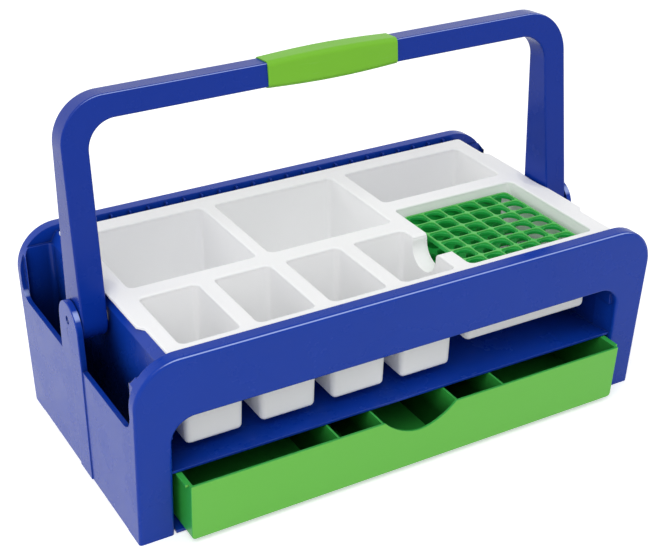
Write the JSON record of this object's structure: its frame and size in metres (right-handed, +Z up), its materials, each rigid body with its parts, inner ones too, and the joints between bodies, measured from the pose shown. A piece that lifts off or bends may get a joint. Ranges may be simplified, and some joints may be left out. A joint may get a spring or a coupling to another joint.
{
  "type": "blood tube drawer organizer",
  "caption": "Carry tray for blood drawing supplies with a folding handle, a lift-out insert with wells, a tube rack and a drawer under a shelf.",
  "frame": {"origin": "on the floor under the middle of the carry body, halfway between its end walls and its front and back walls", "axes": "+X along the body, +Y from the drawer side to the back, +Z up"},
  "size_m": [0.4126, 0.2348, 0.275],
  "materials": {
    "blue_plastic": "satin",
    "green_grip": "soft matt",
    "green_plastic": "satin",
    "white_plastic": "satin",
    "steel": "plain",
    "washer_plastic": "plain"
  },
  "bodies": {
    "body": {"body_shell": "blue_plastic", "base_plate": "blue_plastic", "base_screws": "steel", "drawer_runner_left": "blue_plastic", "drawer_runner_right": "blue_plastic", "pivot_pin_left": "blue_plastic", "pivot_pin_right": "blue_plastic", "pivot_washer_left": "washer_plastic", "pivot_washer_right": "washer_plastic"},
    "handle": {"handle_bow": "blue_plastic", "handle_grip": "green_grip"},
    "tray": {"insert_tray": "white_plastic", "insert_well_1": "white_plastic", "insert_well_2": "white_plastic", "insert_well_3": "white_plastic", "insert_well_4": "white_plastic", "insert_well_5": "white_plastic", "insert_well_6": "white_plastic", "insert_well_7": "white_plastic", "insert_well_8": "white_plastic"},
    "rack": {"rack_top_plate": "green_plastic", "rack_middle_plate": "green_plastic", "rack_base_plate": "green_plastic", "rack_end_front": "green_plastic", "rack_end_back": "green_plastic"},
    "drawer": {"drawer_box": "green_plastic", "drawer_divider_1": "green_plastic", "drawer_divider_2": "green_plastic", "drawer_divider_3": "green_plastic", "drawer_divider_4": "green_plastic"}
  },
  "joints": [
    {"name": "handle_pivot", "type": "hinge", "parent": "body", "child": "handle", "pos_m": [0, 0, 0.12], "axis": [1, 0, 0], "range_deg": [-67.5, 75]},
    {"name": "drawer_slide", "type": "slide", "parent": "body", "child": "drawer", "axis": [0, -1, 0], "range_m": [-0.0155, 0.13]},
    {"name": "tray_lift", "type": "slide", "parent": "body", "child": "tray", "axis": [0, 0, 1], "range_m": [0, 0.09]},
    {"name": "rack_lift", "type": "slide", "parent": "tray", "child": "rack", "axis": [0, 0, 1], "range_m": [0, 0.065]}
  ]
}
